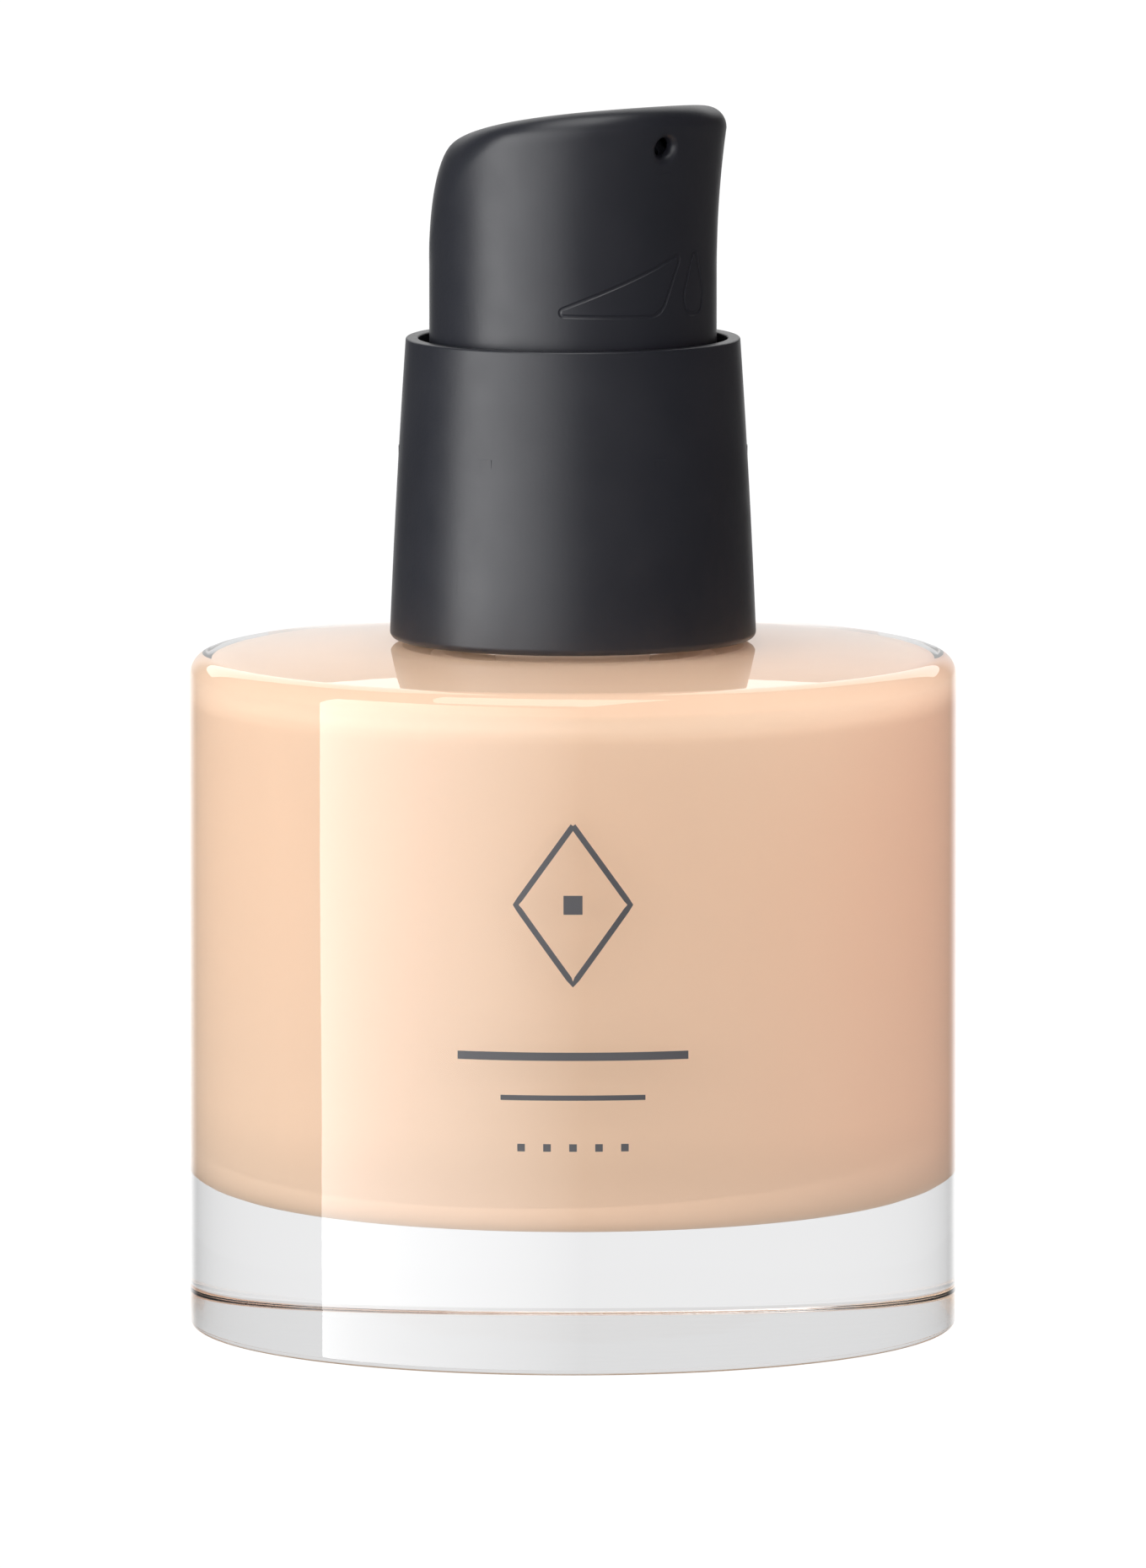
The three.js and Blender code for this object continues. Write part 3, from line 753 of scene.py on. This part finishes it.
def outer_sleeve():
    """The tapered sleeve with the shelf and ribs that hold it on the closure."""
    steps, rib_count = 12, 6
    heights = [SLEEVE_BOTTOM + (SLEEVE_TOP - SLEEVE_BOTTOM) * k / steps for k in range(steps + 1)]
    side = [[sleeve_radius(z), z] for z in heights]
    rim_round = 0.14
    side[0].append(0.4)
    side[-1].append(rim_round)
    shelf_top, shelf_under, shelf_radius = 52.3, 51.7, 7.0

    def inner(z, fillet):
        return sleeve_radius(z) - SLEEVE_WALL, z, fillet

    corners = side + [
        inner(SLEEVE_TOP, rim_round),
        inner(shelf_top, 0.3),
        (shelf_radius, shelf_top, 0.15),
        (shelf_radius, shelf_under, 0.1),
        inner(shelf_under, 0.2),
        inner(SLEEVE_BOTTOM, 0.12),
    ]
    body = turned("sleeve", outline(corners, steps=8), FINE)
    rib_inside, rib_outside, rib_half, rib_bottom, rib_top = 8.9, 10.2, 0.4, 42.4, 51.8
    ribs = []
    for i in range(rib_count):
        rib = cuboid("rib", (rib_inside, -rib_half, rib_bottom), (rib_outside, rib_half, rib_top))
        ribs.append(moved(rib, Matrix.Rotation(2 * math.pi * i / rib_count, 4, "Z")))
    combine(body, ribs, "UNION")
    finish_piece(body, "closure", SATIN_BLACK, "outer_sleeve")


# ---- actuator: made with its nozzle along +X, then turned ----


def top_height(x):
    """Height of the sloping top, which falls from the nose to the back."""
    back = ACTUATOR_RADIUS - x
    return NOSE_HEIGHT - TOP_SLOPE * back - TOP_CURVE * back * back


def skirt_shape(angle):
    """Flare, edge rounding across and down, and the height where that edge starts, round the button."""
    facing = (1 + math.cos(angle)) / 2
    t = min(max((facing - BLEND_START) / (BLEND_END - BLEND_START), 0), 1)
    near_nose = t * t * (3 - 2 * t)
    across = BACK_EDGE_ACROSS + (NOSE_EDGE - BACK_EDGE_ACROSS) * near_nose
    down = BACK_EDGE_DOWN + (NOSE_EDGE - BACK_EDGE_DOWN) * near_nose
    flare = NOSE_FLARE * facing**3
    shoulder = top_height((ACTUATOR_RADIUS + flare) * math.cos(angle)) - down
    return flare, across, down, shoulder


def skirt_radius(z, flare, shoulder):
    """The skirt's radius at a height; it leans out above the flare's start."""
    lean = min(max((z - FLARE_START) / (shoulder - FLARE_START), 0), 1)
    return ACTUATOR_RADIUS + flare * lean * lean


def actuator_form(name, inset, bottom, around, wall_steps, edge_steps, top_steps):
    """The button's form shrunk by an inset: a round skirt that leans out to a nose under a sloping top."""

    def place(angle, station):
        flare, across, down, shoulder = skirt_shape(angle)
        rim = ACTUATOR_RADIUS + flare
        if station <= wall_steps:
            z = bottom + (shoulder - bottom) * station / wall_steps
            radius = skirt_radius(z, flare, shoulder)
            drop = inset * (z - bottom) / (shoulder - bottom)
        else:
            step = station - wall_steps
            bend = min(step / edge_steps, 1) * math.pi / 2
            inward = max(0, step - edge_steps) / top_steps
            radius = (rim - across + across * math.cos(bend)) * (1 - inward)
            z = top_height(radius * math.cos(angle)) - down * (1 - math.sin(bend))
            drop = inset
        radius *= 1 - inset / rim
        return radius * math.cos(angle), radius * math.sin(angle), z - drop

    vertices = [(0, 0, bottom)]
    last = wall_steps + edge_steps + top_steps
    for station in range(last):
        vertices += [place(2 * math.pi * k / around, station) for k in range(around)]
    vertices.append(place(0, last))
    faces = []
    for k in range(around):
        m = (k + 1) % around
        faces.append((0, 1 + m, 1 + k))
        for station in range(last - 1):
            a = 1 + station * around
            b = a + around
            faces.append((a + k, a + m, b + m, b + k))
        top_ring = 1 + (last - 1) * around
        faces.append((top_ring + k, top_ring + m, len(vertices) - 1))
    return mesh_of(name, vertices, faces)


def on_skirt(distance, height, stand_out=0.0):
    """A point on the actuator's skirt at a distance round it from the nozzle."""
    a = distance / ACTUATOR_RADIUS
    flare, _, _, shoulder = skirt_shape(a)
    radius = skirt_radius(height, flare, shoulder) + stand_out
    return radius * math.cos(a), radius * math.sin(a), height


def rounded_loop(corners):
    """A closed line of even short steps through corners (distance, height, fillet)."""
    spacing = 0.25
    points = outline(corners)
    loop = []
    for here, ahead in zip(points, points[1:] + points[:1]):
        parts = max(1, round((ahead - here).length / spacing))
        loop += [here.lerp(ahead, k / parts) for k in range(parts)]
    return loop


def actuator_shell():
    """The hollow button with its flared nozzle hole and the engraved nozzle and drop."""
    shell = actuator_form(
        "actuator_button", 0, ACTUATOR_BOTTOM, FINE, wall_steps=40, edge_steps=16, top_steps=14
    )
    cavity = actuator_form(
        "cavity", ACTUATOR_WALL, ACTUATOR_BOTTOM - 1, 96, wall_steps=16, edge_steps=8, top_steps=8
    )
    hole, depth, outer = 0.55, 1.3, 1.5
    flared_hole = [(0, -depth), (hole, -depth), (hole, 0, hole), (outer, 0), (outer, outer), (0, outer)]
    mouth = turned("mouth", outline(flared_hole, closed=False, steps=10), 64, closed=False)
    turn = Matrix.Rotation(math.pi / 2 + NOZZLE_LEAN, 4, "Y")
    moved(mouth, Matrix.Translation(Vector(on_skirt(0, NOZZLE_HEIGHT)) * MM) @ turn)
    foot, tip = 59.95, 0.22  # the marks' lowest height, and the fillet of their sharp corners
    nozzle_mark = rounded_loop([(-6.9, 60.15, tip), (0.2, foot, 1.3), (1.85, 63.6, tip)])
    drop_mark = rounded_loop(
        [(3.1, 64.0, tip), (4.1, 61.1, 1.2), (3.8, foot, 0.75), (2.3, foot, 0.75), (2.05, 61.1, 1.2)]
    )

    def outward_from_axis(point):
        return Vector((point.x, point.y, 0)).normalized()

    grooves = []
    for name, loop in (("nozzle_mark", nozzle_mark), ("drop_mark", drop_mark)):
        path = [on_skirt(p.x, p.y, MARK_STAND_OUT) for p in loop]
        groove = tube(name, path, circle(MARK_RADIUS, 12), closed=True, up=outward_from_axis)
        grooves.append(groove)
    combine(shell, [cavity, mouth, *grooves], "DIFFERENCE")
    moved(shell, Matrix.Rotation(NOZZLE_TURN, 4, "Z"))
    finish_piece(shell, "actuator", SATIN_BLACK, "actuator_shell", sharp=32)


def actuator_core():
    """The socket on the stem, with its spout to the nozzle and three fins."""
    bore_top, grip_top, grip = 68.0, STEM_TOP + 0.3, STEM_RADIUS + 0.1
    tube_radius, tube_bottom, tube_top = 2.8, 57.9, 68.3
    socket = [
        (0, bore_top),
        (STEM_BORE, bore_top, 0.1),
        (STEM_BORE, grip_top),
        (grip, grip_top),
        (grip, tube_bottom, 0.2),
        (tube_radius, tube_bottom, 0.2),
        (tube_radius, 67.4, 0.3),
        (2.2, tube_top, 0.3),
        (0, tube_top),
    ]
    body = turned("spout_core", outline(socket, closed=False, steps=4), COARSE, closed=False)
    spout_radius, channel_radius = 1.15, 0.55
    outlet = Vector((7.6, 0, NOZZLE_HEIGHT - 0.3))
    spout = tube("spout", [(1.2, 0, 66.6), outlet], circle(spout_radius, 36))
    fins = []
    for turn in (0.25, 0.5, 0.75):
        fin = cuboid("fin", (2.5, -0.4, 60.6), (7.1, 0.4, 64.2))
        fins.append(moved(fin, Matrix.Rotation(2 * math.pi * turn, 4, "Z")))
    combine(body, [spout, *fins], "UNION")
    ends = [(0, 0, 66.0), outlet + Vector((1.2, 0, 0.62))]
    channel = tube("channel", ends, circle(channel_radius, 24))
    combine(body, [channel], "DIFFERENCE")
    moved(body, Matrix.Rotation(NOZZLE_TURN, 4, "Z"))
    finish_piece(body, "actuator", SATIN_BLACK, "actuator_core")


# ---- studio: levels of light, where 1 is white ----

SEEN_WHITE = 1.05  # what the camera sees of the floor and the backdrop
FLOOR_IN_GLASS = 0.88  # what is seen of the floor through the glass
BACKDROP_IN_GLASS = 0.76


def emitter(name):
    """A material that only glows."""
    shader = bpy.data.materials.new(name)
    shader.use_nodes = True
    tree = shader.node_tree
    tree.nodes.remove(tree.nodes["Principled BSDF"])
    emission = tree.nodes.new("ShaderNodeEmission")
    tree.links.new(emission.outputs["Emission"], tree.nodes["Material Output"].inputs["Surface"])
    return shader, tree, emission


def ramp(tree, value, span, levels, smooth=True):
    """Maps a span of values to a pair of levels."""
    node = tree.nodes.new("ShaderNodeMapRange")
    node.interpolation_type = "SMOOTHSTEP" if smooth else "LINEAR"
    node.inputs["From Min"].default_value = span[0]
    node.inputs["From Max"].default_value = span[1]
    node.inputs["To Min"].default_value = levels[0]
    node.inputs["To Max"].default_value = levels[1]
    tree.links.new(value, node.inputs["Value"])
    return node.outputs["Result"]


def for_rays(tree, kind, seen, other):
    """What one kind of ray sees, and what the rest get; each is a number or a socket."""
    rays = tree.nodes.new("ShaderNodeLightPath")
    choose = tree.nodes.new("ShaderNodeMix")
    for socket, value in ((choose.inputs["A"], other), (choose.inputs["B"], seen)):
        if isinstance(value, float):
            socket.default_value = value
        else:
            tree.links.new(value, socket)
    tree.links.new(rays.outputs[kind], choose.inputs["Factor"])
    return choose.outputs["Result"]


def softbox(name, azimuth, distance, heights, width, levels, tint=(1, 1, 1), mirrored=True):
    """An upright panel that faces the bottle and fades across its width; azimuth 0 is in front.

    It isn't seen through glass. One that isn't mirrored lights only matt surfaces.
    """
    a = math.radians(azimuth)
    w = width / 2
    low, high = heights
    piece = mesh_of(name, [(-w, 0, low), (w, 0, low), (w, 0, high), (-w, 0, high)], [(0, 1, 2, 3)])
    shader, tree, emission = emitter(name + "_glow")
    place = tree.nodes.new("ShaderNodeTexCoord")
    split = tree.nodes.new("ShaderNodeSeparateXYZ")
    tree.links.new(place.outputs["Generated"], split.inputs["Vector"])
    tree.links.new(ramp(tree, split.outputs["X"], (0, 1), levels, False), emission.inputs["Strength"])
    emission.inputs["Color"].default_value = (*tint, 1)
    piece.data.materials.append(shader)
    piece.location = (distance * MM * math.sin(a), -distance * MM * math.cos(a), 0)
    piece.rotation_euler = (0, 0, a)
    piece.visible_camera = False
    piece.visible_transmission = False
    piece.visible_shadow = False
    piece.visible_glossy = mirrored


def overhead(name, place, size, power):
    """A square lamp that points at the middle of the bottle; its place and size are in metres."""
    light = bpy.data.lights.new(name, "AREA")
    light.size = size
    light.energy = power
    lamp = bpy.data.objects.new(name, light)
    bpy.context.scene.collection.objects.link(lamp)
    lamp.location = place
    middle = Vector((0, 0, 0.03))
    lamp.rotation_euler = (middle - lamp.location).to_track_quat("-Z", "Y").to_euler()


def floor():
    """A pale floor that glows white, more evenly than a lamp could light it."""
    height, middle, radius = -0.05, 150.0, 6000.0
    points = [Vector((0, height)), Vector((middle, height)), Vector((radius, height))]
    plane = turned("floor", points, 64, closed=False)
    shader, tree, emission = emitter("pale_floor")
    place = tree.nodes.new("ShaderNodeTexCoord")
    length = tree.nodes.new("ShaderNodeVectorMath")
    length.operation = "LENGTH"
    tree.links.new(place.outputs["Object"], length.inputs[0])
    near, far = 0.05, 0.4  # metres from the middle
    under_bottle, further_out = 1.35, 0.35
    glow = ramp(tree, length.outputs["Value"], (near, far), (under_bottle, further_out))
    glow = for_rays(tree, "Is Transmission Ray", FLOOR_IN_GLASS, glow)
    tree.links.new(for_rays(tree, "Is Camera Ray", SEEN_WHITE, glow), emission.inputs["Strength"])
    plane.data.materials.append(shader)
    plane.visible_glossy = False


def studio():
    """The floor, the panels, and a backdrop that is white to the camera and bright behind the bottle."""
    scene = bpy.context.scene
    scene.view_settings.view_transform = "Standard"
    scene.view_settings.look = "None"
    world = bpy.data.worlds.new("studio")
    scene.world = world
    world.use_nodes = True
    tree = world.node_tree
    place = tree.nodes.new("ShaderNodeTexCoord")
    split = tree.nodes.new("ShaderNodeSeparateXYZ")
    tree.links.new(place.outputs["Generated"], split.inputs["Vector"])
    behind = tree.nodes.new("ShaderNodeMath")
    behind.operation = "MULTIPLY"
    all_round, straight_behind, above_horizon = 0.13, 1.3, 0.62
    backward = ramp(tree, split.outputs["Y"], (0.9, 1.0), (all_round, straight_behind))
    upward = ramp(tree, split.outputs["Z"], (-0.07, 0.0), (1.0, above_horizon))
    tree.links.new(backward, behind.inputs[0])
    tree.links.new(upward, behind.inputs[1])
    backdrop = for_rays(tree, "Is Transmission Ray", BACKDROP_IN_GLASS, behind.outputs["Value"])
    background = tree.nodes["Background"]
    background.inputs["Color"].default_value = (1, 1, 1, 1)
    tree.links.new(for_rays(tree, "Is Camera Ray", SEEN_WHITE, backdrop), background.inputs["Strength"])
    floor()
    softbox("left_softbox", -38, distance=400, heights=(-180, 330), width=720, levels=(6.2, 0.0))
    softbox("back_softbox", 180, distance=600, heights=(205, 1200), width=900, levels=(1.5, 1.5))
    distance, heights, width = 500, (0, 260), 600
    for name, azimuth, power, tint in (
        ("front_reflector", -2, 9.4, (1, 0.89, 0.87)),
        ("side_reflector", -60, 4.8, (1, 0.98, 0.98)),
        ("left_reflector", -112, 3.3, (1, 0.97, 0.98)),
        ("right_reflector", 122, 2.6, (1, 0.45, 0.42)),
    ):
        softbox(name, azimuth, distance, heights, width, (power, power), tint, mirrored=False)
    overhead("top_softbox", (-0.1, -0.25, 0.7), size=0.55, power=3.3)


def camera():
    """A long lens in front of the bottle that looks a little down on it."""
    distance, elevation = 1300.0, math.radians(6.58)
    target = Vector((0, 0, 31.84)) * MM
    lens = bpy.data.cameras.new("camera")
    lens.sensor_width = 36
    lens.lens = 509.5
    lens.clip_start, lens.clip_end = 0.01, 30
    eye = bpy.data.objects.new("camera", lens)
    bpy.context.scene.collection.objects.link(eye)
    back = Vector((0, -math.cos(elevation), math.sin(elevation)))
    eye.location = target + back * distance * MM
    eye.rotation_euler = (-back).to_track_quat("-Z", "Y").to_euler()
    bpy.context.scene.camera = eye


camera()
studio()
glass_bottle()
foundation()
printed_ornament()
pump_engine()
valve_and_tube()
plunger_parts()
return_spring()
screw_closure()
outer_sleeve()
actuator_shell()
actuator_core()
